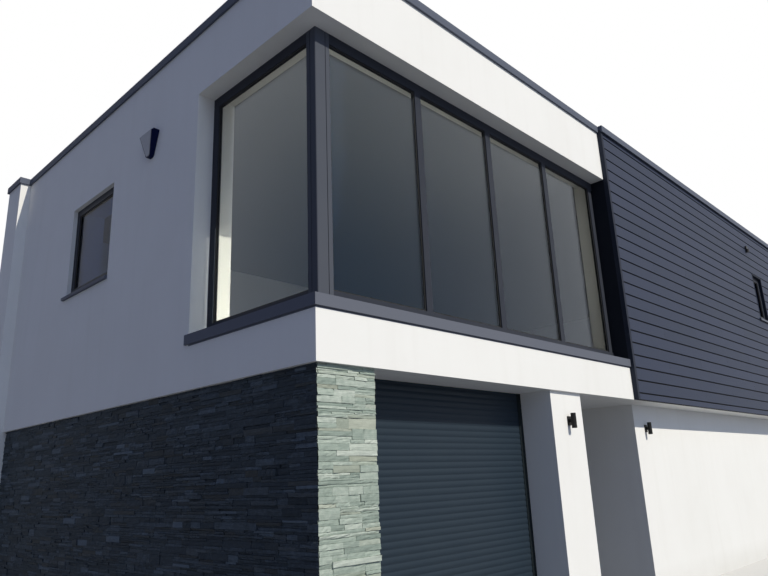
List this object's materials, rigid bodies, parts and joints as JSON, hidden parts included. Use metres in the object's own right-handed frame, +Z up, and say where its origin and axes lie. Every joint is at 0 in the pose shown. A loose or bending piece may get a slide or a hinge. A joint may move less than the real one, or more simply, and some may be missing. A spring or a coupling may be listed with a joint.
{
  "type": "detached house",
  "caption": "Flat-roofed house of two storeys: white rendered box with a glazed corner over a stone base and garage, beside an overhanging volume clad in dark boards.",
  "frame": {"origin": "centre of the rectangular footprint, on the underside of the ground slab at ground level", "axes": "+X along the front towards the clad volume, +Y from the front to the back, +Z up"},
  "size_m": [13.547, 7.193, 5.985],
  "materials": {
    "white_render": "white fine-grained render, matt",
    "split_stone": "split-face ledge stone, matt",
    "concrete": "plain concrete, matt",
    "roof_covering": "grey roofing membrane, matt",
    "board_cladding": "anthracite boards with a fine brushed texture, matt",
    "trim_metal": "powder-coated anthracite, satin",
    "coping_metal": "powder-coated anthracite, satin",
    "window_metal": "powder-coated anthracite aluminium, satin",
    "glazing": "clear double glazing",
    "shutter_metal": "roll-formed slats, slate grey, satin",
    "door_metal": "powder-coated anthracite, satin",
    "handle_steel": "satin stainless steel",
    "light_metal": "black, satin",
    "bell_plastic": "navy blue moulding",
    "bell_front": "pale grey moulding",
    "sensor_plastic": "dark grey moulding"
  },
  "bodies": {
    "root": {"ground_slab": "concrete", "lower_left_wall": "white_render", "stone_facing_left": "split_stone", "stone_facing_front": "split_stone", "garage_piers": "white_render", "recess_walls": "white_render", "lower_front_wall": "white_render", "lower_right_wall": "white_render", "rear_wall": "white_render", "rear_corner_pier": "white_render", "upper_floor": "concrete", "front_band": "white_render", "left_band": "white_render", "front_fascia": "white_render", "left_fascia": "white_render", "upper_left_wall": "white_render", "upper_front_wall": "white_render", "upper_right_wall": "white_render", "cladding_front": "board_cladding", "cladding_sides": "board_cladding", "cladding_flank": "trim_metal", "cladding_trims": "trim_metal", "roof_deck": "concrete", "roof_membrane": "roof_covering", "coping_rendered": "coping_metal", "coping_clad": "coping_metal", "corner_sill": "window_metal", "corner_post": "window_metal", "corner_window_rails": "window_metal", "corner_window_mullions": "window_metal", "corner_glass": "glazing", "window_frames": "window_metal", "window_glass": "glazing", "window_sills": "window_metal", "shutter_curtain": "shutter_metal", "shutter_guides": "shutter_metal", "shutter_bottom_bar": "shutter_metal", "entrance_frame": "door_metal", "entrance_door": "door_metal", "door_handle": "handle_steel", "entrance_glass": "glazing", "wall_lights": "light_metal", "bell_box": "bell_plastic", "bell_box_panel": "bell_front", "wall_sensor": "sensor_plastic"}
  },
  "joints": []
}
